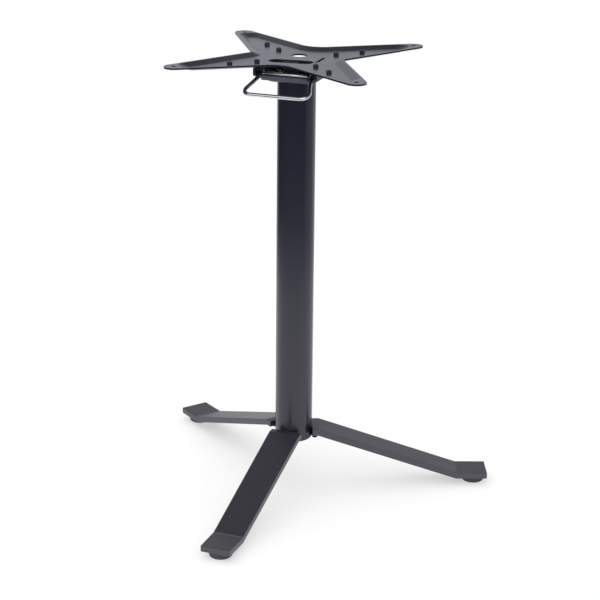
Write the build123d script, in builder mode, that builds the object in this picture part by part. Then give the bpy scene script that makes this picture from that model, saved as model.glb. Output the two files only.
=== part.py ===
"""Tilting table base: three flat bar legs, a round column and a pressed X plate on a hinged head.

Units are millimetres. The floor is Z = 0 and the column stands on the Z axis.
The front leg and the release handle point along -Y, and the plate tilts about an axis along X.
"""
import os
from math import asin, atan, cos, degrees, radians, sin, sqrt, tan

from build123d import *

# Column
column_diameter = 60.0
column_wall = 2.5
column_bottom = 86.0
column_length = 588.0

# Legs: flat bar, level on the hub, sloping straight down to a level foot, tapering a little on the way
leg_azimuths = {"front": 268.5, "right": 21.0, "left": 144.0}
leg_thickness = 10.0
leg_width_hub = 52.0
leg_width_tip = 48.5
leg_slope_start = 42.0
leg_foot_start = 270.0
leg_reach = 319.0
leg_root_rise = 12.0
leg_edge_radius = 0.8
leg_bend_radius = 4.0
leg_end_gap = 0.4

# Glides under the feet
glide_diameter = 36.0
glide_height = 11.0
glide_edge_radius = 3.0
glide_setback = 21.0
glide_stud_diameter = 8.0
glide_stud_length = 6.5

# Hub that closes the column and carries the legs
hub_depth = 8.0
hub_spigot_length = 42.0
hub_edge_radius = 4.0
hub_lug_width = 28.0
hub_lug_reach = 39.0
hub_lug_root = 18.0
hub_lug_thickness = 4.0

# Screws that hold each leg on its lug
leg_screw_diameter = 5.0
leg_screw_head_diameter = 8.5
leg_screw_head_height = 5.0
leg_screw_radius = 34.5
leg_screw_spacing = 14.0
leg_screw_bite = 7.0
leg_screw_socket = 4.0
leg_screw_socket_depth = 2.5

# Tie rod that clamps hub, column and head together
rod_diameter = 12.0
rod_nut_width = 19.0
rod_nut_height = 10.0
rod_washer_diameter = 24.0
rod_washer_thickness = 2.5
rod_tail = 2.0
rod_chamfer = 1.0
hub_recess_diameter = 28.0
hub_recess_spare = 0.5

# Head: a flared cast channel, open at the front, on top of the column
head_wall = 4.0
head_half_width = 51.5
head_flare_height = 11.0
head_height = 25.0
head_front = -54.0
head_toe = -30.0
head_nose_height = 12.0
head_rear = 29.5
head_rear_radius = 9.5
head_nose_radius = 3.0
head_spigot_length = 40.0
head_spigot_bore = 40.0
head_web_thickness = 3.5
head_web_half_width = 24.0
buffer_length = 10.0
buffer_setback = 26.0

# Tilt pivot
pivot_y = 20.0
pivot_height = 15.5
pivot_diameter = 10.0
pivot_overhang = 3.0
clip_thickness = 1.2
clip_diameter = 16.0
clip_groove_depth = 0.8
clip_mouth = 7.0
lug_inner = 26.0
lug_thickness = 5.0
lug_radius = 9.5
lug_half_width = 9.5
lug_flange_width = 18.0
lug_flange_thickness = 2.5
bush_wall = 1.6
sleeve_diameter = 13.0

# Pressed X plate
plate_clearance = 5.0
sheet = 2.5
dish_depth = 4.5
notch_half_width = 75.0
waist_half_depth = 67.0
tip_reach = 217.5
tip_radius = 15.8
notch_radius = 5.0
waist_radius = 40.0
rim_land = 2.0
flange_run = 13.0
corner_spread = 1.16
opening_tip_setback = 22.0
floor_tip_setback = 16.0
floor_tip_radius = 8.0
tip_hole_setback = 15.0
tip_hole_diameter = 7.0
sight_hole = (-5.0, 24.0)
sight_hole_diameter = 24.0
latch_slot_centre = (-1.0, -24.5)
latch_slot_length = 70.0
latch_slot_width = 24.0
latch_slot_turn = 6.0
stop_slot_centre = (37.5, 1.0)
stop_slot_length = 40.0
stop_slot_width = 5.0

# Spacers on the plate floor for the table top screws
spacer_radii = (67.0, 112.0)
spacer_diameter = 8.2
spacer_bore = 4.5
spacer_neck = 6.4
spacer_drop = 0.5
spacer_tail = 1.5

# Release handle of round wire, and the latch bar between its legs
wire_diameter = 6.0
handle_pivot_y = -38.0
handle_pivot_drop = 6.0
handle_slope = 23.0
handle_neck = 39.5
handle_half_width = 55.0
handle_straight = 10.0
handle_length = 65.0
handle_end_overhang = 2.0
handle_corner_radii = (7.0, 14.0, 12.0)
bar_depth = 14.0
bar_height = 7.5
bar_drop = 3.6
bar_lead = 13.0
bar_edge_radius = 1.0
bar_nose_radius = 3.0
tongue_width = 24.0
tongue_thickness = 4.0
tongue_step = 1.5
tongue_drop = 0.5

# Fits
slip_fit = 0.2
running_fit = 0.05
side_gap = 0.3

# Heights that follow from the sizes above
column_radius = column_diameter / 2
column_bore = column_radius - column_wall
column_top = column_bottom + column_length
hub_bottom = column_bottom - hub_depth
head_floor = column_top + head_wall
head_top = column_top + head_height
pivot_z = column_top + pivot_height
floor_bottom = head_top + plate_clearance
floor_top = floor_bottom + sheet
rim_top = floor_top + dish_depth
foot_bottom = glide_height
handle_pivot_z = head_top - handle_pivot_drop

os.makedirs("parts", exist_ok=True)


def save(part, name):
    """Label a finished piece and write it to its own file."""
    part.label = name
    export_step(part, f"parts/{name}.step")


def radial_plane(azimuth):
    """Upright plane through the column axis: local x runs outward, local y runs up."""
    turn = radians(azimuth)
    return Plane(origin=(0, 0, 0), x_dir=(cos(turn), sin(turn), 0), z_dir=(sin(turn), -cos(turn), 0))


def plan_plane(azimuth, height):
    """Level plane whose local x runs outward along a leg."""
    turn = radians(azimuth)
    return Plane(origin=(0, 0, height), x_dir=(cos(turn), sin(turn), 0), z_dir=(0, 0, 1))


def ring(height, outer_radius, inner_radius, length):
    """A plain round tube or washer standing on the given height."""
    with BuildPart() as tube:
        with BuildSketch(Plane.XY.offset(height)):
            Circle(outer_radius)
            Circle(inner_radius, mode=Mode.SUBTRACT)
        extrude(amount=length)
    return tube.part


# Column: round steel tube
save(ring(column_bottom, column_radius, column_bore, column_length), "column_tube")

# Leg slope, from the level root on the hub down to the foot
leg_start = column_radius + leg_end_gap
leg_root_top = column_bottom + leg_root_rise
leg_foot_top = foot_bottom + leg_thickness
leg_slope = (leg_root_top - leg_foot_top) / (leg_foot_start - leg_slope_start)
leg_angle = atan(leg_slope)
bend_shift = leg_thickness * tan(leg_angle / 2)
leg_root_bottom = leg_root_top - leg_thickness
glide_radius = leg_reach - glide_setback
screw_offsets = (-leg_screw_spacing / 2, leg_screw_spacing / 2)
screw_tip = leg_root_bottom + leg_screw_bite
screw_seat_z = leg_root_bottom - hub_lug_thickness

for side, azimuth in leg_azimuths.items():
    # Leg: sloping bar with a level root and a level foot, drilled for its screws and glide
    with BuildPart() as leg:
        with BuildSketch(radial_plane(azimuth)):
            with BuildLine():
                Polyline(
                    (leg_start, leg_root_top),
                    (leg_slope_start, leg_root_top),
                    (leg_foot_start, leg_foot_top),
                    (leg_reach, leg_foot_top),
                    (leg_reach, foot_bottom),
                    (leg_foot_start - bend_shift, foot_bottom),
                    (leg_slope_start - bend_shift, leg_root_bottom),
                    (leg_start, leg_root_bottom),
                    close=True,
                )
            make_face()
        extrude(amount=leg_width_hub, both=True)
        cross_edges = leg.edges().filter_by(Axis((0, 0, 0), radial_plane(azimuth).z_dir))
        cross_edges = cross_edges.sort_by(lambda edge: Vector(edge.center().X, edge.center().Y, 0).length)
        fillet(cross_edges[2:-2], leg_bend_radius)
        with BuildSketch(plan_plane(azimuth, 0)):
            with BuildLine():
                Polyline(
                    (leg_start, -leg_width_hub / 2),
                    (leg_reach, -leg_width_tip / 2),
                    (leg_reach, leg_width_tip / 2),
                    (leg_start, leg_width_hub / 2),
                    close=True,
                )
            make_face()
        extrude(amount=leg_root_top + leg_thickness, mode=Mode.INTERSECT)
        fillet(leg.edges(), leg_edge_radius)
        with BuildSketch(plan_plane(azimuth, screw_seat_z)):
            with Locations(*[(leg_screw_radius, offset_y) for offset_y in screw_offsets]):
                Circle(leg_screw_diameter / 2 + running_fit)
        extrude(amount=screw_tip - screw_seat_z + slip_fit, mode=Mode.SUBTRACT)
        with BuildSketch(plan_plane(azimuth, foot_bottom)):
            with Locations((glide_radius, 0)):
                Circle(glide_stud_diameter / 2 + running_fit)
        extrude(amount=glide_stud_length + slip_fit, mode=Mode.SUBTRACT)
    save(leg.part, f"leg_{side}")

    # Glide: round plastic pad with a stud pressed up into the foot
    with BuildPart() as glide:
        with BuildSketch(plan_plane(azimuth, 0)):
            with Locations((glide_radius, 0)):
                Circle(glide_diameter / 2)
        extrude(amount=glide_height)
        fillet(glide.edges().group_by(Axis.Z)[0], glide_edge_radius)
        with BuildSketch(plan_plane(azimuth, glide_height)):
            with Locations((glide_radius, 0)):
                Circle(glide_stud_diameter / 2)
        extrude(amount=glide_stud_length)
    save(glide.part, f"foot_glide_{side}")

# Hub: casting with a spigot inside the column and a flat lug under the root of each leg
recess_depth = rod_nut_height + rod_washer_thickness + hub_recess_spare
recess_top = hub_bottom + recess_depth
with BuildPart() as hub:
    with BuildSketch(Plane.XY.offset(hub_bottom)):
        Circle(column_radius)
    extrude(amount=column_bottom - hub_bottom)
    fillet(hub.edges().group_by(Axis.Z)[0], hub_edge_radius)
    for azimuth in leg_azimuths.values():
        with BuildSketch(radial_plane(azimuth)):
            with BuildLine():
                Polyline(
                    (hub_lug_root, screw_seat_z),
                    (hub_lug_reach, screw_seat_z),
                    (hub_lug_reach, leg_root_bottom),
                    (leg_start, leg_root_bottom),
                    (leg_start, column_bottom),
                    (hub_lug_root, column_bottom),
                    close=True,
                )
            make_face()
        extrude(amount=hub_lug_width / 2, both=True)
    with BuildSketch(Plane.XY.offset(column_bottom)):
        Circle(column_radius + leg_end_gap)
    extrude(amount=leg_root_bottom - column_bottom, mode=Mode.SUBTRACT)
    with BuildSketch(Plane.XY.offset(column_bottom)):
        Circle(column_bore - slip_fit)
    extrude(amount=hub_spigot_length)
    with BuildSketch(Plane.XY.offset(hub_bottom)):
        Circle(hub_recess_diameter / 2)
    extrude(amount=recess_depth, mode=Mode.SUBTRACT)
    with BuildSketch(Plane.XY.offset(recess_top)):
        Circle(rod_diameter / 2 + slip_fit)
    extrude(amount=column_bottom + hub_spigot_length - recess_top, mode=Mode.SUBTRACT)
    for azimuth in leg_azimuths.values():
        with BuildSketch(plan_plane(azimuth, screw_seat_z)):
            with Locations(*[(leg_screw_radius, offset_y) for offset_y in screw_offsets]):
                Circle(leg_screw_diameter / 2 + slip_fit)
        extrude(amount=screw_tip - screw_seat_z, mode=Mode.SUBTRACT)
        with BuildSketch(plan_plane(azimuth, hub_bottom)):
            with Locations(*[(leg_screw_radius, offset_y) for offset_y in screw_offsets]):
                Circle(leg_screw_head_diameter / 2 + slip_fit)
        extrude(amount=screw_seat_z - hub_bottom, mode=Mode.SUBTRACT)
save(hub.part, "base_hub")

# Leg screws: two socket head screws through each lug, up into its leg
with BuildPart() as leg_screws:
    for azimuth in leg_azimuths.values():
        head_plane = plan_plane(azimuth, screw_seat_z - leg_screw_head_height)
        for offset_y in screw_offsets:
            with BuildSketch(head_plane):
                with Locations((leg_screw_radius, offset_y)):
                    Circle(leg_screw_head_diameter / 2)
            extrude(amount=leg_screw_head_height)
            with BuildSketch(plan_plane(azimuth, screw_seat_z)):
                with Locations((leg_screw_radius, offset_y)):
                    Circle(leg_screw_diameter / 2)
            extrude(amount=screw_tip - screw_seat_z)
            with BuildSketch(head_plane):
                with Locations((leg_screw_radius, offset_y)):
                    RegularPolygon(leg_screw_socket / 2, 6)
            extrude(amount=leg_screw_socket_depth, mode=Mode.SUBTRACT)
save(leg_screws.part, "leg_screws")

# Tie rod with a washer and a nut at each end
rod_low = hub_bottom + hub_recess_spare
lower_washer = recess_top - rod_washer_thickness
upper_nut = head_floor + rod_washer_thickness
rod_high = upper_nut + rod_nut_height + rod_tail
with BuildPart() as tie_rod:
    with BuildSketch(Plane.XY.offset(rod_low)):
        Circle(rod_diameter / 2)
    extrude(amount=rod_high - rod_low)
    chamfer(tie_rod.edges().filter_by(GeomType.CIRCLE), rod_chamfer)
save(tie_rod.part, "tie_rod")

with BuildPart() as rod_nuts:
    for height in (lower_washer - rod_nut_height, upper_nut):
        with BuildSketch(Plane.XY.offset(height)):
            RegularPolygon(rod_nut_width / 2, 6, major_radius=False)
            Circle(rod_diameter / 2 + running_fit, mode=Mode.SUBTRACT)
        extrude(amount=rod_nut_height)
save(rod_nuts.part, "tie_rod_nuts")

with BuildPart() as rod_washers:
    for height in (lower_washer, head_floor):
        with BuildSketch(Plane.XY.offset(height)):
            Circle(rod_washer_diameter / 2)
            Circle(rod_diameter / 2 + slip_fit, mode=Mode.SUBTRACT)
        extrude(amount=rod_washer_thickness)
save(rod_washers.part, "tie_rod_washers")

# Head: flared channel with its spigot in the column, bored for the tilt pin and the handle ends
head_length = head_rear - head_front
side_plane = Plane(origin=(0, 0, 0), x_dir=(0, 1, 0), z_dir=(1, 0, 0))
with BuildPart() as head:
    with BuildSketch(Plane(origin=(0, head_rear, 0), x_dir=(1, 0, 0), z_dir=(0, -1, 0))) as channel:
        with BuildLine():
            Polyline(
                (-head_half_width, head_top + head_wall),
                (-head_half_width, column_top + head_flare_height),
                (-column_radius, column_top),
                (column_radius, column_top),
                (head_half_width, column_top + head_flare_height),
                (head_half_width, head_top + head_wall),
                close=True,
            )
        make_face()
        offset(amount=-head_wall, kind=Kind.INTERSECTION, mode=Mode.SUBTRACT)
    extrude(amount=head_length)
    with BuildSketch(Plane.XY.offset(column_top)):
        with Locations((0, head_rear - head_web_thickness / 2)):
            Rectangle(2 * head_web_half_width, head_web_thickness)
    extrude(amount=head_height)
    with BuildSketch(side_plane) as cheek:
        with BuildLine():
            Polyline(
                (head_front, head_top),
                (head_front, head_top - head_nose_height),
                (head_toe, column_top),
                (head_rear, column_top),
                (head_rear, head_top),
                close=True,
            )
        make_face()
        fillet(cheek.vertices().sort_by_distance((head_front, head_top))[0:2], head_nose_radius)
        fillet(cheek.vertices().sort_by_distance((head_rear, head_top))[0], head_rear_radius)
    extrude(amount=head_half_width, both=True, mode=Mode.INTERSECT)
    with BuildSketch(Plane.XY.offset(column_top - head_spigot_length)):
        Circle(column_bore - slip_fit)
        Circle(head_spigot_bore / 2, mode=Mode.SUBTRACT)
    extrude(amount=head_spigot_length)
    with BuildSketch(Plane.XY.offset(column_top)):
        Circle(rod_diameter / 2 + slip_fit)
    extrude(amount=head_wall, mode=Mode.SUBTRACT)
    with BuildSketch(side_plane):
        with Locations((pivot_y, pivot_z)):
            Circle(pivot_diameter / 2 + running_fit)
        with Locations((handle_pivot_y, handle_pivot_z)):
            Circle(wire_diameter / 2 + running_fit)
    extrude(amount=head_half_width, both=True, mode=Mode.SUBTRACT)
save(head.part, "tilt_head")

# Rest buffers: rubber pads on the front of both cheeks, under the level plate
buffer_front = head_front + buffer_setback
buffer_middle = head_half_width - head_wall / 2
with BuildPart() as buffers:
    with BuildSketch(Plane.XY.offset(head_top)):
        with Locations(*[(x, buffer_front + buffer_length / 2) for x in (-buffer_middle, buffer_middle)]):
            SlotOverall(buffer_length, head_wall, rotation=90)
    extrude(amount=plate_clearance - side_gap)
save(buffers.part, "rest_buffers")


def cross_bar(half_length, radius, y, z):
    """A round bar along X, centred on the column plane."""
    with BuildPart() as bar:
        with BuildSketch(Plane(origin=(-half_length, y, z), x_dir=(0, 1, 0), z_dir=(1, 0, 0))):
            Circle(radius)
        extrude(amount=2 * half_length)
    return bar.part


def sleeves(inner_x, length, outer_radius, inner_radius):
    """A pair of round sleeves on the tilt pin, one on each side of the middle."""
    with BuildPart() as pair:
        for start in (inner_x, -inner_x - length):
            with BuildSketch(Plane(origin=(start, pivot_y, pivot_z), x_dir=(0, 1, 0), z_dir=(1, 0, 0))):
                Circle(outer_radius)
                Circle(inner_radius, mode=Mode.SUBTRACT)
            extrude(amount=length)
    return pair.part


# Tilt pin with a groove near each end for its clips
pin_radius = pivot_diameter / 2
groove_radius = pin_radius - clip_groove_depth
groove_start = head_half_width + running_fit
groove_width = clip_thickness + running_fit * 2
with BuildPart() as pin:
    add(cross_bar(head_half_width + pivot_overhang, pin_radius, pivot_y, pivot_z))
    add(sleeves(groove_start, groove_width, clip_diameter / 2, groove_radius), mode=Mode.SUBTRACT)
save(pin.part, "pivot_pin")

# Clips: spring steel C rings in the grooves
with BuildPart() as clips:
    add(sleeves(groove_start + running_fit, clip_thickness, clip_diameter / 2, groove_radius + running_fit))
    with BuildSketch(side_plane):
        with Locations((pivot_y, pivot_z - clip_diameter / 2)):
            Rectangle(clip_mouth, clip_diameter)
    extrude(amount=head_half_width + pivot_overhang, both=True, mode=Mode.SUBTRACT)
save(clips.part, "pivot_clips")

# Spacer sleeves on the pin between the plate lugs and the flared walls of the head
flare_run = (head_half_width - column_radius) / head_flare_height
flare_outside = column_radius + flare_run * (pivot_height - sleeve_diameter / 2)
flare_inside = flare_outside - head_wall * sqrt(1 + flare_run**2)
sleeve_start = lug_inner + lug_thickness + side_gap
sleeve_length = flare_inside - side_gap - sleeve_start
save(sleeves(sleeve_start, sleeve_length, sleeve_diameter / 2, pin_radius + running_fit), "pivot_sleeves")

# Bushes: plastic bearings in the plate lugs
bush_radius = pin_radius + bush_wall
save(sleeves(lug_inner, lug_thickness, bush_radius, pin_radius + running_fit), "pivot_bushes")

# Hinge lugs: folded steel angles welded under the plate
flange_bottom = floor_bottom - lug_flange_thickness
for side, web_start, flange_middle in (
    ("left", -lug_inner - lug_thickness, -lug_inner - lug_flange_width / 2),
    ("right", lug_inner, lug_inner + lug_flange_width / 2),
):
    with BuildPart() as lug:
        with BuildSketch(side_plane.offset(web_start)):
            with Locations((pivot_y, pivot_z)):
                Circle(lug_radius)
            with BuildLine():
                Polyline(
                    (pivot_y - lug_half_width, flange_bottom),
                    (pivot_y - lug_radius, pivot_z),
                    (pivot_y + lug_radius, pivot_z),
                    (pivot_y + lug_half_width, flange_bottom),
                    close=True,
                )
            make_face()
            with Locations((pivot_y, pivot_z)):
                Circle(bush_radius + running_fit, mode=Mode.SUBTRACT)
        extrude(amount=lug_thickness)
        with BuildSketch(Plane.XY.offset(flange_bottom)):
            with Locations((flange_middle, pivot_y)):
                Rectangle(lug_flange_width, 2 * lug_half_width)
        extrude(amount=lug_flange_thickness)
    save(lug.part, f"hinge_lug_{side}")


def tangent_point(start, centre, radius, side):
    """Where a line from the start point touches a circle, on its left (1) or right (-1)."""
    reach = centre - start
    turn = side * degrees(asin(radius / reach.length))
    return start + reach.normalized().rotate(Axis.Z, turn) * sqrt(reach.length**2 - radius**2)


def cross_outline(inset, reach, radius):
    """Four pointed outline with rounded arm tips, pulled in by the inset along its sides."""
    notch = Vector(notch_half_width - inset * corner_spread, 0)
    waist = Vector(0, waist_half_depth - inset * corner_spread)
    diagonal = Vector(1, 1).normalized()
    tip_centre = diagonal * (reach - radius)
    tip_start = tangent_point(notch, tip_centre, radius, -1)
    tip_end = tangent_point(waist, tip_centre, radius, 1)
    with BuildSketch(mode=Mode.PRIVATE) as outline:
        with BuildLine() as quarter:
            Line(notch, tip_start)
            ThreePointArc(tip_start, diagonal * reach, tip_end)
            Line(tip_end, waist)
            mirror(quarter.line, about=Plane.YZ)
            mirror(quarter.line, about=Plane.XZ)
        make_face()
        middle = outline.vertices()
        fillet(middle.filter_by_position(Axis.Y, -radius / 2, radius / 2), notch_radius + inset)
        fillet(outline.vertices().filter_by_position(Axis.X, -radius / 2, radius / 2), waist_radius + inset)
    return outline.sketch


# Top plate: one sheet pressed into a shallow X shaped dish with flat pads at the arm tips
opening_reach = tip_reach - opening_tip_setback
floor_reach = opening_reach - floor_tip_setback
opening = cross_outline(rim_land, opening_reach, tip_radius + rim_land)
dish_floor = cross_outline(rim_land + flange_run, floor_reach, floor_tip_radius)
tip_hole_radius = tip_reach - tip_hole_setback
with BuildPart() as plate:
    with BuildSketch(Plane.XY.offset(rim_top - sheet)):
        add(cross_outline(0, tip_reach, tip_radius))
    extrude(amount=sheet)
    with BuildSketch(Plane.XY.offset(floor_bottom)):
        add(dish_floor)
    with BuildSketch(Plane.XY.offset(rim_top - sheet)):
        add(opening)
    loft(ruled=True)
    with BuildSketch(Plane.XY.offset(floor_top)):
        add(dish_floor)
    with BuildSketch(Plane.XY.offset(rim_top)):
        add(opening)
    loft(ruled=True, mode=Mode.SUBTRACT)
    with BuildSketch(Plane.XY.offset(floor_bottom)):
        with Locations(sight_hole):
            Circle(sight_hole_diameter / 2)
        with Locations(latch_slot_centre):
            SlotOverall(latch_slot_length, latch_slot_width, rotation=latch_slot_turn)
        with Locations(stop_slot_centre):
            SlotOverall(stop_slot_length, stop_slot_width, rotation=90)
        for radius in spacer_radii:
            with PolarLocations(radius, 4, start_angle=45):
                Circle(spacer_neck / 2 + running_fit)
        with PolarLocations(tip_hole_radius, 4, start_angle=45):
            Circle(tip_hole_diameter / 2)
    extrude(amount=rim_top - floor_bottom, mode=Mode.SUBTRACT)
save(plate.part, "top_plate")

# Screw spacers: black plastic bushes snapped into the plate floor, just below the rim
with BuildPart() as spacers:
    for radius in spacer_radii:
        with BuildSketch(Plane.XY.offset(floor_top)):
            with PolarLocations(radius, 4, start_angle=45):
                Circle(spacer_diameter / 2)
        extrude(amount=dish_depth - spacer_drop)
        with BuildSketch(Plane.XY.offset(floor_bottom - spacer_tail)):
            with PolarLocations(radius, 4, start_angle=45):
                Circle(spacer_neck / 2)
        extrude(amount=sheet + spacer_tail)
        with BuildSketch(Plane.XY.offset(floor_bottom - spacer_tail)):
            with PolarLocations(radius, 4, start_angle=45):
                Circle(spacer_bore / 2)
        extrude(amount=sheet + spacer_tail + dish_depth, mode=Mode.SUBTRACT)
save(spacers.part, "screw_spacers")

# Release handle: one length of round wire, its bent ends turning in the head cheeks
slope = radians(handle_slope)
handle_plane = Plane(
    origin=(0, handle_pivot_y, handle_pivot_z), x_dir=(1, 0, 0), z_dir=(0, sin(slope), -cos(slope))
)
wire_end = head_half_width + handle_end_overhang
half_route = [(wire_end, 0), (handle_neck, 0), (handle_neck, handle_straight)]
half_route.append((handle_half_width, handle_length))
route = half_route + [(-x, v) for x, v in reversed(half_route)]
with BuildPart() as handle:
    with BuildLine(handle_plane) as wire_line:
        FilletPolyline(*route, radius=list(handle_corner_radii) + list(reversed(handle_corner_radii)))
    with BuildSketch(Plane(origin=wire_line.line @ 0, z_dir=wire_line.line % 0)):
        Circle(wire_diameter / 2)
    sweep()
save(handle.part, "release_handle")

# Latch bar: steel bar welded between the handle legs
bar_half_length = handle_neck - wire_diameter / 2
bar_top = handle_pivot_z - bar_drop
bar_middle = handle_pivot_y - bar_lead
bar_rear = bar_middle + bar_depth / 2
with BuildPart() as latch:
    with BuildSketch(side_plane.offset(-bar_half_length)):
        with Locations((bar_middle, bar_top - bar_height / 2)):
            Rectangle(bar_depth, bar_height)
    extrude(amount=2 * bar_half_length)
    nose = latch.edges().filter_by(Axis.X).group_by(Axis.Z)[-1].sort_by(Axis.Y)[0]
    fillet(nose, bar_nose_radius)
    corners = latch.edges().filter_by(Axis.X).group_by(Axis.Y)
    fillet([*corners[-1], *corners[0].group_by(Axis.Z)[0]], bar_edge_radius)
save(latch.part, "latch_bar")

# Latch tongue: black steel angle welded behind the bar, its upright leg standing in the plate slot
tongue_start = latch_slot_centre[0] - tongue_width / 2
tongue_front = latch_slot_centre[1] - tongue_thickness / 2
tongue_rear = tongue_front + tongue_thickness
step_top = bar_top - tongue_step
step_bottom = step_top - tongue_thickness
tongue_top = floor_top - tongue_drop
with BuildPart() as tongue:
    with BuildSketch(side_plane.offset(tongue_start)):
        with BuildLine():
            Polyline(
                (bar_rear, step_top),
                (tongue_front, step_top),
                (tongue_front, tongue_top),
                (tongue_rear, tongue_top),
                (tongue_rear, step_bottom),
                (bar_rear, step_bottom),
                close=True,
            )
        make_face()
    extrude(amount=tongue_width)
save(tongue.part, "latch_tongue")
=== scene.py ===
import math

import bmesh
import bpy
from mathutils import Matrix, Vector


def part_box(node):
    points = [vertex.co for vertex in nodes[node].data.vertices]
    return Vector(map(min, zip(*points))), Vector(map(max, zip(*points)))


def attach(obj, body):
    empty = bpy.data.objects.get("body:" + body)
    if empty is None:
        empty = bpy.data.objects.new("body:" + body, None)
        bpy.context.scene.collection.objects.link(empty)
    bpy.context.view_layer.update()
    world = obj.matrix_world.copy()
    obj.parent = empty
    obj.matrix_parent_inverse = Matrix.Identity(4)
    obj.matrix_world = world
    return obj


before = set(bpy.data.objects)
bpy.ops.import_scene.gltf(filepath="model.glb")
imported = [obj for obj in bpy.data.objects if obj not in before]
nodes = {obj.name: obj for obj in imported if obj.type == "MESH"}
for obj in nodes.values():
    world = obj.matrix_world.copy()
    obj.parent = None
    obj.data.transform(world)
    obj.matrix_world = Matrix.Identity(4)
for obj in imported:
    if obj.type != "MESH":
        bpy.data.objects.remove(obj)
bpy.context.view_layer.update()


# Base hub: an iron casting in the foot of the column, with a flat lug under each leg.
# It wears the same anthracite powder coat as the steelwork, a little rougher where the sand
# mould left its grain.
class Signal:
    """One output socket, with operators that add Math nodes."""

    def __init__(self, board, socket):
        self.board = board
        self.socket = socket

    def math(self, operation, first, second, clamp=False):
        settings = {"operation": operation, "use_clamp": clamp}
        return self.board.add("ShaderNodeMath", settings, {0: first, 1: second})

    def __add__(self, other):
        return self.math("ADD", self, other)

    __radd__ = __add__

    def __sub__(self, other):
        return self.math("SUBTRACT", self, other)

    def __rsub__(self, other):
        return self.math("SUBTRACT", other, self)

    def __mul__(self, other):
        return self.math("MULTIPLY", self, other)

    __rmul__ = __mul__

    def __truediv__(self, other):
        return self.math("DIVIDE", self, other)

    def __rtruediv__(self, other):
        return self.math("DIVIDE", other, self)

    def clamped(self):
        return self.math("ADD", self, 0.0, clamp=True)


UP = (0.0, 0.0, 1.0)
FACING_START = 0.25
FACING_FULL = 0.5


class Board:
    """The node tree of one material or of the world."""

    def __init__(self, tree):
        self.tree = tree
        self.tree.nodes.clear()

    def add(self, kind, settings=None, sockets=None, out=0):
        """Adds a node: its settings first, then the values or links of its sockets."""
        node = self.tree.nodes.new(kind)
        for key, value in (settings or {}).items():
            if key == "stops":
                self.set_stops(node.color_ramp, value)
            else:
                setattr(node, key, value)
        for key, value in (sockets or {}).items():
            if isinstance(value, Signal):
                self.tree.links.new(value.socket, node.inputs[key])
            else:
                node.inputs[key].default_value = value
        return Signal(self, node.outputs[out]) if len(node.outputs) else node

    @staticmethod
    def set_stops(ramp, stops):
        """A new ramp has two stops: the others are added, then all are set in order."""
        for place, _ in stops[2:]:
            ramp.elements.new(place)
        for element, (place, value) in zip(ramp.elements, stops):
            element.position = place
            element.color = (value, value, value, 1.0)

    def place(self):
        return self.add("ShaderNodeTexCoord", out="Object")

    def noise(self, scale, detail=2.0, roughness=0.5, stretch=(1.0, 1.0, 1.0)):
        spot = self.add("ShaderNodeMapping", {}, {"Vector": self.place(), "Scale": stretch})
        values = {"Vector": spot, "Scale": scale, "Detail": detail, "Roughness": roughness}
        return self.add("ShaderNodeTexNoise", {}, values)

    def mixed(self, factor, first, second):
        """A colour between two others, through the sockets that a Mix node keeps for colours."""
        settings = {"data_type": "RGBA", "clamp_factor": True}
        return self.add("ShaderNodeMix", settings, {0: factor, 6: first, 7: second}, out=2)

    def along(self, spot, way):
        """How far a point or a direction goes along a given way."""
        settings = {"operation": "DOT_PRODUCT"}
        return self.add("ShaderNodeVectorMath", settings, {0: spot, 1: way}, out=1)

    def upward(self):
        """1 on faces that look up, 0 on faces that look sideways or down."""
        facing = self.add("ShaderNodeTexCoord", out="Normal")
        rise = self.along(facing, UP) - FACING_START
        return (rise / (FACING_FULL - FACING_START)).clamped()

    def bumped(self, height, strength, distance):
        values = {"Height": height, "Strength": strength, "Distance": distance}
        return self.add("ShaderNodeBump", {}, values)


def new_finish(name):
    material = bpy.data.materials.new(name)
    material.use_nodes = True
    return material, Board(material.node_tree)


def close_finish(board, **sockets):
    named = {key.replace("_", " "): value for key, value in sockets.items()}
    surface = board.add("ShaderNodeBsdfPrincipled", {}, named)
    board.add("ShaderNodeOutputMaterial", {}, {"Surface": surface})


SPECK_SCALE = 2600.0
CLOUD_SCALE = 9.0
SPECK_LIFT = 1.35
SPECK_SHARE = 0.6
GLOSS_CLOUD = 0.1
PEEL_DEPTH = 0.2


def powder_coat(name, colour, roughness, gloss, peel, peel_size, sheen=(1.0, 1.0, 1.0), highlight_line=None):
    """Baked polyester powder: a dark ground, fine orange peel and a faint cloudiness in the gloss.

    A highlight line, given by its way and distance from the column, is a painted highlight: a pale
    line across the upward faces of a leg.
    """
    material, board = new_finish(name)
    speck = board.noise(SPECK_SCALE, detail=1.0)
    cloud = board.noise(CLOUD_SCALE, detail=3.0)
    pebble = board.noise(1.0 / peel_size, roughness=0.4)
    light = tuple(SPECK_LIFT * value for value in colour)
    mottle = speck * SPECK_SHARE + cloud * (1.0 - SPECK_SHARE)
    ground = board.mixed(mottle, (*colour, 1.0), (*light, 1.0))
    # Painted highlight: a pale line on the faces that look up, across the bend of a leg.
    if highlight_line:
        way, distance, half_width, pale = highlight_line
        off_line = board.along(board.place(), way) - distance
        beside = board.add("ShaderNodeMath", {"operation": "ABSOLUTE"}, {0: off_line})
        highlight_mask = (1.0 - beside / half_width).clamped() * board.upward()
        ground = board.mixed(highlight_mask, ground, (*pale, 1.0))
    close_finish(
        board,
        Base_Color=ground,
        Roughness=roughness - GLOSS_CLOUD / 2 + cloud * GLOSS_CLOUD,
        Specular_IOR_Level=gloss,
        Specular_Tint=(*sheen, 1.0),
        Normal=board.bumped(pebble, peel, peel_size * PEEL_DEPTH),
    )
    return material


def dress(material, *names):
    for name in names:
        piece = nodes[name].data
        piece.materials.clear()
        piece.materials.append(material)


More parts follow.
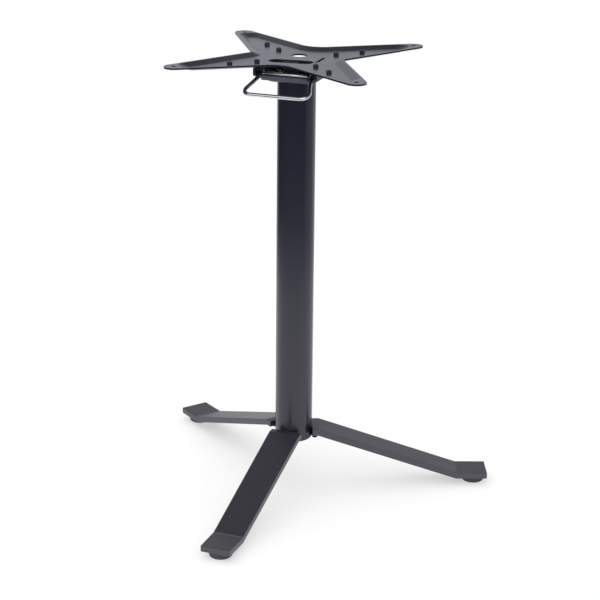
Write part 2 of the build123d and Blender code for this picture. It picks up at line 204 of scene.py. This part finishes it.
ANTHRACITE = (0.0105, 0.0105, 0.0215)
SAND_PEEL = 0.0016
hub_coat = powder_coat(
    "hub_coat",
    ANTHRACITE,
    roughness=0.42,
    gloss=0.6,
    peel=0.25,
    peel_size=SAND_PEEL,
)
dress(hub_coat, "base_hub")


# Leg screws: socket head screws, two through each lug from below.
# They are zinc plated and passivated black, so faint drawn lines show in a dark metal.
DRAWN_SCALE = 700.0
DRAWN_SPREAD = 0.12
DRAWN_BUMP = 0.15
DRAWN_DEPTH = 0.0001
PATCH_SCALE = 60.0
PATCH_WARMTH = (0.92, 0.88, 0.8)


def black_zinc(name, colour, roughness, grain):
    """Black passivated zinc plate: dark metal with faint drawn lines and a patchy bloom."""
    material, board = new_finish(name)
    drawn = board.noise(DRAWN_SCALE, detail=3.0, stretch=grain)
    patch = board.noise(PATCH_SCALE, detail=3.0)
    warm = tuple(value * share for value, share in zip(colour, PATCH_WARMTH))
    close_finish(
        board,
        Base_Color=board.mixed(patch, (*colour, 1.0), (*warm, 1.0)),
        Roughness=roughness - DRAWN_SPREAD / 2 + drawn * DRAWN_SPREAD,
        Metallic=1.0,
        Normal=board.bumped(drawn, DRAWN_BUMP, DRAWN_DEPTH),
    )
    return material


GRAIN_UPRIGHT = (1.0, 1.0, 0.05)
SCREW_BLACK = (0.03, 0.03, 0.032)
dress(black_zinc("screw_black", SCREW_BLACK, roughness=0.4, grain=GRAIN_UPRIGHT), "leg_screws")

# Legs: hot rolled flat bar, bent twice in a press and sheared square at the ends.
# They are powder coated in satin anthracite and bolted to the hub from below. A pale line is painted
# across the upward faces at the foot bend of the front one, as a painted highlight.
LEG_COLOUR = (0.016, 0.0152, 0.0268)
LEG_PEEL = 0.0011
# The painted highlight on the front leg: a pale line across the top of its foot bend.
BEND_DISTANCE = 0.2698
HIGHLIGHT_HALF_WIDTH = 0.0013
HIGHLIGHT_PALE = (0.11, 0.11, 0.12)
FRONT_LEG_TURN = math.radians(268.5)
front_way = (math.cos(FRONT_LEG_TURN), math.sin(FRONT_LEG_TURN), 0.0)
painted_highlight = (front_way, BEND_DISTANCE, HIGHLIGHT_HALF_WIDTH, HIGHLIGHT_PALE)
for side, highlight_line in (("front", painted_highlight), ("right", None), ("left", None)):
    leg_coat = powder_coat(
        f"leg_coat_{side}",
        LEG_COLOUR,
        roughness=0.42,
        gloss=1.0,
        peel=0.08,
        peel_size=LEG_PEEL,
        highlight_line=highlight_line,
    )
    dress(leg_coat, f"leg_{side}")


# Foot glides: grey black moulded polyethylene pads with a stud pushed up into the foot.
# Their skin has the fine even grain of a spark eroded mould.
GRAIN_SCALE = 1800.0
GRAIN_BUMP = 0.2
GRAIN_DEPTH = 0.00015
SCUFF_SCALE = 140.0
SCUFF_LIFT = 1.6
SCUFF_SPREAD = 0.12


def matt_skin(name, colour, roughness):
    """Moulded plastic, rubber or phosphated steel: a matt dark skin with fine grain and scuffs."""
    material, board = new_finish(name)
    grain = board.noise(GRAIN_SCALE)
    scuff = board.noise(SCUFF_SCALE, detail=4.0, roughness=0.7)
    light = tuple(SCUFF_LIFT * value for value in colour)
    close_finish(
        board,
        Base_Color=board.mixed(scuff, (*colour, 1.0), (*light, 1.0)),
        Roughness=roughness - SCUFF_SPREAD / 2 + scuff * SCUFF_SPREAD,
        Normal=board.bumped(grain, GRAIN_BUMP, GRAIN_DEPTH),
    )
    return material


GLIDE_GREY = (0.034, 0.034, 0.038)
glide_plastic = matt_skin("glide_plastic", GLIDE_GREY, roughness=0.55)
dress(glide_plastic, "foot_glide_front", "foot_glide_right", "foot_glide_left")

# Column: drawn round steel tube, cut square and powder coated before assembly.
# Its coat is the smoothest of all, so it mirrors the floor and the front leg softly.
tube_coat = powder_coat(
    "column_coat",
    ANTHRACITE,
    roughness=0.24,
    gloss=0.65,
    peel=0.05,
    peel_size=LEG_PEEL,
)
dress(tube_coat, "column_tube")

# Tie rod with its nuts and washers: black passivated steel inside the column.
# The upper nut clamps the head down on the tube.
TIE_ROD_BLACK = (0.03, 0.03, 0.03)
rod_black = black_zinc("rod_black", TIE_ROD_BLACK, roughness=0.4, grain=GRAIN_UPRIGHT)
dress(rod_black, "tie_rod", "tie_rod_nuts", "tie_rod_washers")

# Head: a flared cast channel with its spigot in the column and its cheeks bored for the pins.
# The casting is coated like the column, but its skin stays slightly pebbled.
HEAD_PEEL = 0.0018
head_coat = powder_coat(
    "head_coat",
    ANTHRACITE,
    roughness=0.4,
    gloss=0.5,
    peel=0.3,
    peel_size=HEAD_PEEL,
)
dress(head_coat, "tilt_head")

# Rest buffers: small black rubber pads glued on both cheeks, under the level plate.
# Rubber is dull and a little dusty.
BUFFER_BLACK = (0.014, 0.014, 0.014)
dress(matt_skin("buffer_rubber", BUFFER_BLACK, roughness=0.75), "rest_buffers")

# Tilt hinge: a black passivated pin through both cheeks, held by spring clips, with sleeves and
# plastic bushes that carry the lugs of the plate.
GRAIN_ACROSS = (0.05, 1.0, 1.0)
PIN_BLACK = (0.05, 0.05, 0.05)
BUSH_BLACK = (0.03, 0.03, 0.03)
pin_black = black_zinc("pin_black", PIN_BLACK, roughness=0.38, grain=GRAIN_ACROSS)
dress(pin_black, "pivot_pin", "pivot_clips", "pivot_sleeves")
dress(matt_skin("bush_plastic", BUSH_BLACK, roughness=0.5), "pivot_bushes")

# Top plate: one sheet of steel pressed into an X shaped dish, with hinge lugs welded below.
# It carries the satin coat of the legs, and shows it brightest because it is seen edge on.
PLATE_COLOUR = (0.009, 0.0098, 0.0175)
PLATE_SHEEN = (0.85, 0.92, 1.0)
LUG_PEEL = 0.0013
plate_coat = powder_coat(
    "plate_coat",
    PLATE_COLOUR,
    roughness=0.25,
    gloss=0.52,
    peel=0.06,
    peel_size=LEG_PEEL,
    sheen=PLATE_SHEEN,
)
dress(plate_coat, "top_plate")
lug_coat = powder_coat(
    "lug_coat",
    ANTHRACITE,
    roughness=0.36,
    gloss=0.5,
    peel=0.2,
    peel_size=LUG_PEEL,
)
dress(lug_coat, "hinge_lug_left", "hinge_lug_right")

# Latch keeper: a folded steel strip spot welded under the plate along the rear edge of its slot.
# The latch tongue locks against it, and it closes the slot to the light from behind.
SLOT_CENTRE = Vector((-0.001, -0.0245, 0.0))
SLOT_TURN = math.radians(6.0)
SLOT_HALF_WIDTH = 0.012
KEEPER_LENGTH = 0.066
KEEPER_SHEET = 0.0015
KEEPER_FLANGE = 0.009
KEEPER_DROP = 0.0045
KEEPER_GAP = 0.0012
KEEPER_EDGE = 0.0003
plate_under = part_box("top_plate")[0][2]
profile = [
    (0.0, 0.0),
    (KEEPER_FLANGE, 0.0),
    (KEEPER_FLANGE, -KEEPER_SHEET),
    (KEEPER_SHEET, -KEEPER_SHEET),
    (KEEPER_SHEET, -KEEPER_DROP),
    (0.0, -KEEPER_DROP),
]
strip = bmesh.new()
left_end, right_end = [
    [strip.verts.new((x, y, z)) for y, z in profile]
    for x in (-KEEPER_LENGTH / 2, KEEPER_LENGTH / 2)
]
strip.faces.new(left_end)
strip.faces.new(list(reversed(right_end)))
for corner in range(len(profile)):
    following = (corner + 1) % len(profile)
    strip.faces.new((left_end[following], left_end[corner], right_end[corner], right_end[following]))
bmesh.ops.recalc_face_normals(strip, faces=strip.faces)
bmesh.ops.bevel(strip, geom=strip.edges[:], offset=KEEPER_EDGE, segments=2, affect="EDGES")
slot_turned = Matrix.Rotation(SLOT_TURN, 4, "Z")
rear_edge = slot_turned @ Vector((0.0, SLOT_HALF_WIDTH + KEEPER_GAP, 0.0))
under_slot = SLOT_CENTRE + rear_edge + Vector((0.0, 0.0, plate_under))
strip.transform(Matrix.Translation(under_slot) @ slot_turned)
keeper_mesh = bpy.data.meshes.new("latch_keeper")
strip.to_mesh(keeper_mesh)
strip.free()
keeper = bpy.data.objects.new("latch_keeper", keeper_mesh)
bpy.context.collection.objects.link(keeper)
keeper_coat = powder_coat(
    "keeper_coat",
    ANTHRACITE,
    roughness=0.45,
    gloss=0.4,
    peel=0.2,
    peel_size=LUG_PEEL,
)
keeper_mesh.materials.append(keeper_coat)
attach(keeper, "tilt_top")

# Screw spacers: black plastic bushes snapped into the plate's floor.
# Each keeps its screw upright and stands just below the rim.
SPACER_BLACK = (0.014, 0.015, 0.021)
dress(matt_skin("spacer_plastic", SPACER_BLACK, roughness=0.42), "screw_spacers")


# Release handle: one length of round steel wire, bent cold and plated with bright chrome.
# Its turned ends run in the cheeks of the head.
HAZE_SCALE = 35.0
HAZE_DIM = 0.93
HAZE_SPREAD = 0.05
POLISH_GAIN = 0.02


def bright_chrome(name, colour, roughness):
    """Decorative chrome over nickel: a mirror with a slow haze where the polish varies."""
    material, board = new_finish(name)
    haze = board.noise(HAZE_SCALE, detail=3.0)
    dull = tuple(HAZE_DIM * value for value in colour)
    close_finish(
        board,
        Base_Color=board.mixed(haze, (*colour, 1.0), (*dull, 1.0)),
        Roughness=roughness - POLISH_GAIN + haze * HAZE_SPREAD,
        Metallic=1.0,
    )
    return material


WIRE_CHROME = (0.72, 0.73, 0.75)
dress(bright_chrome("wire_chrome", WIRE_CHROME, roughness=0.1), "release_handle")

# Latch bar: a drawn steel bar welded between the legs of the handle and phosphated black.
# The fine crystals of the phosphate leave its skin dull and a little mottled.
BAR_BLACK = (0.057, 0.057, 0.07)
dress(matt_skin("bar_black", BAR_BLACK, roughness=0.4), "latch_bar")

# Latch rod: a thin round rod spot welded along the top of the latch bar, from leg to leg of the
# handle. It stiffens the bar, and is chromed like the wire.
ROD_RADIUS = 0.0025
ROD_SETBACK = 0.0085
ROD_END_GAP = 0.0004
ROD_ROUNDING = 0.0007
ROD_SIDES = 40
ROD_SEAM = 0.000001
ROD_END_FACING = 0.5
ROD_CHROME = (0.9, 0.9, 0.92)
bar_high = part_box("latch_bar")[1]
rod_half = bar_high[0] - ROD_END_GAP
rod_profile = [
    (-rod_half, 0.0),
    (-rod_half, ROD_RADIUS - ROD_ROUNDING),
    (-rod_half + ROD_ROUNDING, ROD_RADIUS),
    (rod_half - ROD_ROUNDING, ROD_RADIUS),
    (rod_half, ROD_RADIUS - ROD_ROUNDING),
    (rod_half, 0.0),
]
turning = bmesh.new()
outline = [turning.verts.new((x, 0.0, r)) for x, r in rod_profile]
edges = [turning.edges.new(pair) for pair in zip(outline, outline[1:])]
bmesh.ops.spin(
    turning,
    geom=outline + edges,
    axis=(1.0, 0.0, 0.0),
    cent=(0.0, 0.0, 0.0),
    angle=math.tau,
    steps=ROD_SIDES,
)
bmesh.ops.remove_doubles(turning, verts=turning.verts, dist=ROD_SEAM)
bmesh.ops.recalc_face_normals(turning, faces=turning.faces)
for face in turning.faces:
    face.smooth = abs(face.normal.x) < ROD_END_FACING
rod_seat = Vector((0.0, bar_high[1] - ROD_SETBACK, bar_high[2] + ROD_RADIUS))
turning.transform(Matrix.Translation(rod_seat))
rod_mesh = bpy.data.meshes.new("latch_rod")
turning.to_mesh(rod_mesh)
turning.free()
latch_rod = bpy.data.objects.new("latch_rod", rod_mesh)
bpy.context.collection.objects.link(latch_rod)
rod_mesh.materials.append(bright_chrome("rod_chrome", ROD_CHROME, roughness=0.13))
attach(latch_rod, "handle")

# Latch tongue: an angle of black phosphated steel welded behind the bar.
# Its upright leg stands in the slot of the plate.
TONGUE_BLACK = (0.01, 0.01, 0.01)
dress(matt_skin("tongue_black", TONGUE_BLACK, roughness=0.6), "latch_tongue")

# Floor: a round sheet of white paper under the object, fading out into the white room.
# It takes the soft shadow of the base, and glows a little to the eye and in mirrors, as paper
# on a light table does.
FLOOR_RADIUS = 1.9
FLOOR_SIDES = 96
FADE_START = 1.0
FADE_END = 1.4
PAPER_WHITE = (0.97, 0.97, 0.97, 1.0)
PAPER_GLOW = 0.5
WHITE = (1.0, 1.0, 1.0, 1.0)
sheet = bmesh.new()
bmesh.ops.create_circle(sheet, cap_ends=True, segments=FLOOR_SIDES, radius=FLOOR_RADIUS)
floor_mesh = bpy.data.meshes.new("floor")
sheet.to_mesh(floor_mesh)
sheet.free()
floor = bpy.data.objects.new("floor", floor_mesh)
bpy.context.collection.objects.link(floor)
paper, paper_board = new_finish("floor_paper")
to_middle = {0: paper_board.place()}
reach = paper_board.add("ShaderNodeVectorMath", {"operation": "LENGTH"}, to_middle, out=1)
fade = ((reach - FADE_START) / (FADE_END - FADE_START)).clamped()
matt = paper_board.add("ShaderNodeBsdfDiffuse", {}, {"Color": PAPER_WHITE})
glow = paper_board.add("ShaderNodeEmission", {}, {"Color": WHITE})
looked_at = paper_board.add("ShaderNodeLightPath", out="Is Camera Ray")
reflected = paper_board.add("ShaderNodeLightPath", out="Is Glossy Ray")
backlit = (looked_at + reflected).clamped() * PAPER_GLOW
pale = paper_board.add("ShaderNodeMixShader", {}, {0: backlit, 1: matt, 2: glow})
clear = paper_board.add("ShaderNodeBsdfTransparent")
blend = paper_board.add("ShaderNodeMixShader", {}, {0: fade, 1: pale, 2: clear})
paper_board.add("ShaderNodeOutputMaterial", {}, {"Surface": blend})
floor_mesh.materials.append(paper)


# Room: a white studio that lights the object evenly. The camera sees plain white. Glossy surfaces
# see a dark side beside the camera, a dimmer ceiling, and a back wall that is colder at its foot
# and a little brighter on the left.
def side_of_room(degrees):
    """The level way to one side of the room, counted from straight in front of the object."""
    turn = math.radians(degrees)
    return (math.sin(turn), -math.cos(turn), 0.0)


def toward(board, gaze, degrees):
    """1 on one side of the room, 0 on the opposite side."""
    return board.along(gaze, side_of_room(degrees)) * 0.5 + 0.5


def toned(board, signal, stops):
    return board.add("ShaderNodeValToRGB", {"stops": stops}, {0: signal})


VIEW_TURN = 19.76
GLOOM_TURN = -17.7
RIGHT_TURN = VIEW_TURN + 90.0
BLACK = (0.0, 0.0, 0.0, 1.0)
COLD_WHITE = (0.88, 0.94, 1.03, 1.0)
GLOOM_STOPS = [(0.15, 1.0), (0.36, 0.75), (0.5, 0.03)]
SIDE_WALL_STOPS = [(0.18, 1.0), (0.34, 0.5)]
BACK_WALL_STOPS = [(0.46, 1.0), (0.54, 0.84)]
CEILING_STOPS = [(0.2, 1.0), (0.34, 0.55), (0.72, 0.36)]
WALL_FOOT_STOPS = [(0.22, 1.0), (0.29, 0.0)]
OVER_CAMERA_STOPS = [(0.6, 0.0), (0.7, 1.0)]
OFF_FLOOR_STOPS = [(0.02, 0.0), (0.12, 1.0)]
world = bpy.data.worlds.new("studio")
bpy.context.scene.world = world
world.use_nodes = True
room = Board(world.node_tree)
direction = room.add("ShaderNodeTexCoord", out="Generated")
to_camera = toward(room, direction, VIEW_TURN)
height = room.along(direction, UP)
dark_side = toned(room, toward(room, direction, GLOOM_TURN), GLOOM_STOPS)
side_wall = toned(room, to_camera, SIDE_WALL_STOPS)
back_wall = toned(room, toward(room, direction, RIGHT_TURN), BACK_WALL_STOPS)
ceiling = toned(room, height, CEILING_STOPS)
over_camera = toned(room, to_camera, OVER_CAMERA_STOPS)
off_floor = toned(room, height, OFF_FLOOR_STOPS)
shine = (dark_side * side_wall * ceiling * back_wall + over_camera * off_floor).clamped()
wall_white = room.mixed(toned(room, height, WALL_FOOT_STOPS), WHITE, COLD_WHITE)
wall_tone = room.mixed(shine, BLACK, wall_white)
walls = room.add("ShaderNodeBackground", {}, {"Color": wall_tone})
plain = room.add("ShaderNodeBackground", {}, {"Color": WHITE})
camera_ray = room.add("ShaderNodeLightPath", out="Is Camera Ray")
through_glass = room.add("ShaderNodeLightPath", out="Is Transmission Ray")
mirrored = room.add("ShaderNodeLightPath", out="Is Glossy Ray")
lit = room.add("ShaderNodeMixShader", {}, {0: mirrored, 1: plain, 2: walls})
seen_plain = (camera_ray + through_glass).clamped()
shown = room.add("ShaderNodeMixShader", {}, {0: seen_plain, 1: lit, 2: plain})
room.add("ShaderNodeOutputWorld", {}, {"Surface": shown})


# Lamps: a wide softbox overhead for the shadow on the paper, hidden from mirrors, and a small
# strip high beside the camera that puts the bright lines on the wire and the latch rod.
def add_lamp(name, place, target, size, energy, in_mirrors):
    light = bpy.data.lights.new(name, "AREA")
    light.shape = "RECTANGLE"
    light.size, light.size_y = size
    light.energy = energy
    lamp = bpy.data.objects.new(name, light)
    lamp.location = place
    lamp.rotation_euler = (Vector(target) - Vector(place)).to_track_quat("-Z", "Y").to_euler()
    lamp.visible_glossy = in_mirrors
    bpy.context.collection.objects.link(lamp)


add_lamp(
    "softbox",
    place=(-0.7, 0.3, 2.6),
    target=(0.0, 0.0, 0.3),
    size=(2.0, 2.0),
    energy=9.0,
    in_mirrors=False,
)
add_lamp(
    "strip",
    place=(0.5, -1.5, 1.5),
    target=(0.0, -0.05, 0.68),
    size=(1.4, 0.5),
    energy=4.0,
    in_mirrors=True,
)

# Camera: a long lens at about chest height, turned to the right of the front leg.
# It looks down on the base, so that the plate and the feet both show their tops.
CAMERA_PLACE = (0.9505, -2.6213, 1.2906)
VIEW_PITCH = math.radians(19.3)
VIEW_ROLL = math.radians(0.57)
FOCAL_PIXELS = 1841.8
IMAGE_WIDTH = 600
SENSOR = 36.0
lens = bpy.data.cameras.new("camera")
lens.sensor_width = SENSOR
lens.lens = FOCAL_PIXELS * SENSOR / IMAGE_WIDTH
eye = bpy.data.objects.new("camera", lens)
level_gaze = -Vector(side_of_room(VIEW_TURN))
gaze = level_gaze * math.cos(VIEW_PITCH) - Vector((0.0, 0.0, math.sin(VIEW_PITCH)))
aim = gaze.to_track_quat("-Z", "Y").to_matrix().to_4x4() @ Matrix.Rotation(VIEW_ROLL, 4, "Z")
eye.matrix_world = Matrix.Translation(CAMERA_PLACE) @ aim
bpy.context.collection.objects.link(eye)
bpy.context.scene.camera = eye
bpy.context.scene.view_settings.view_transform = "Standard"
